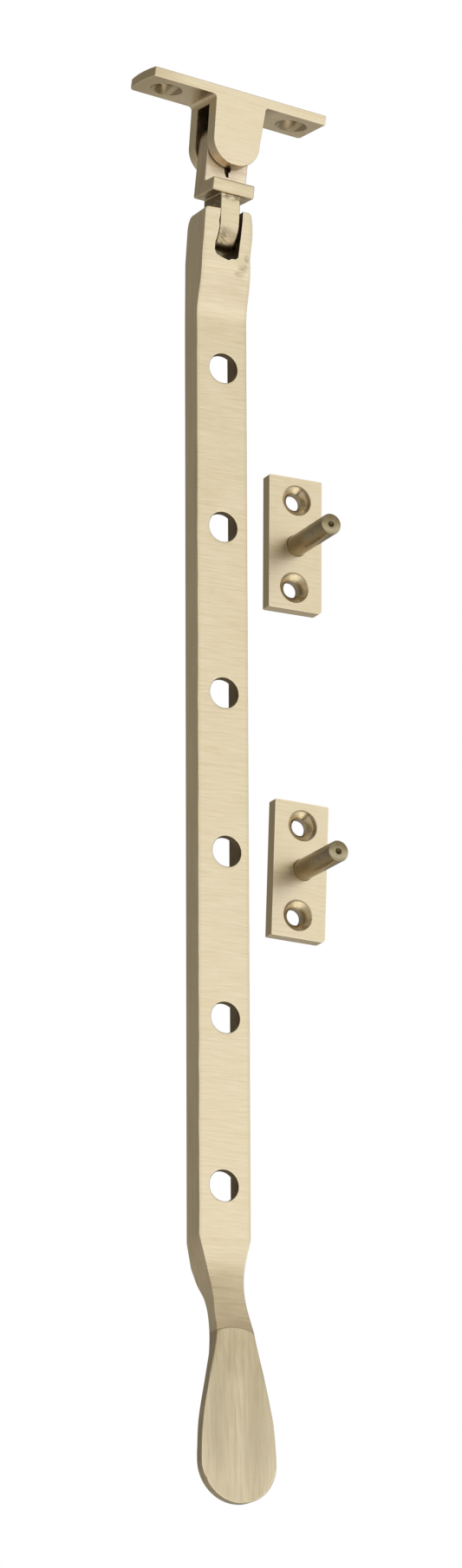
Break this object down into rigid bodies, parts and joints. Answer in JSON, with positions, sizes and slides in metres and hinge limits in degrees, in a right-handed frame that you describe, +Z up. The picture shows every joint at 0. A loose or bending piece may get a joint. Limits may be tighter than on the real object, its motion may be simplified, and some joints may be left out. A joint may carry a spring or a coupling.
{
  "type": "casement window stay",
  "caption": "Satin brass casement peg stay: pierced channel arm with a cranked spoon handle, two-way knuckle in a T bracket, and separate screw-on peg plates.",
  "frame": {"origin": "middle of the bracket plate's mounting face, which is the face against the casement", "axes": "+Z up, away from the hanging arm; -Y is the side that faces into the room; +X to the right as seen from the room"},
  "size_m": [0.0607, 0.0373, 0.3307],
  "materials": {
    "satin_brass": "satin, brushed",
    "turned_brass": "satin, turned",
    "filed_brass": "raw, sawn and filed"
  },
  "bodies": {
    "root": {"mounting_bracket": "satin_brass", "upper_pivot_pin": "turned_brass", "peg_plate_upper": "satin_brass", "peg_plate_lower": "satin_brass", "peg_upper": "turned_brass", "peg_lower": "turned_brass"},
    "knuckle": {"knuckle": "filed_brass"},
    "arm": {"stay_arm": "satin_brass", "lower_pivot_pin": "turned_brass"}
  },
  "joints": [
    {"name": "swing", "type": "hinge", "parent": "root", "child": "knuckle", "pos_m": [-0.00068, 0.00118, -0.01162], "axis": [0.0261, -0.9944, -0.1023], "range_deg": [-95, 92]},
    {"name": "lift", "type": "hinge", "parent": "knuckle", "child": "arm", "pos_m": [-0.00199, 0.00154, -0.03497], "axis": [-0.9979, -0.0319, 0.0555], "range_deg": [-98, 93]}
  ]
}
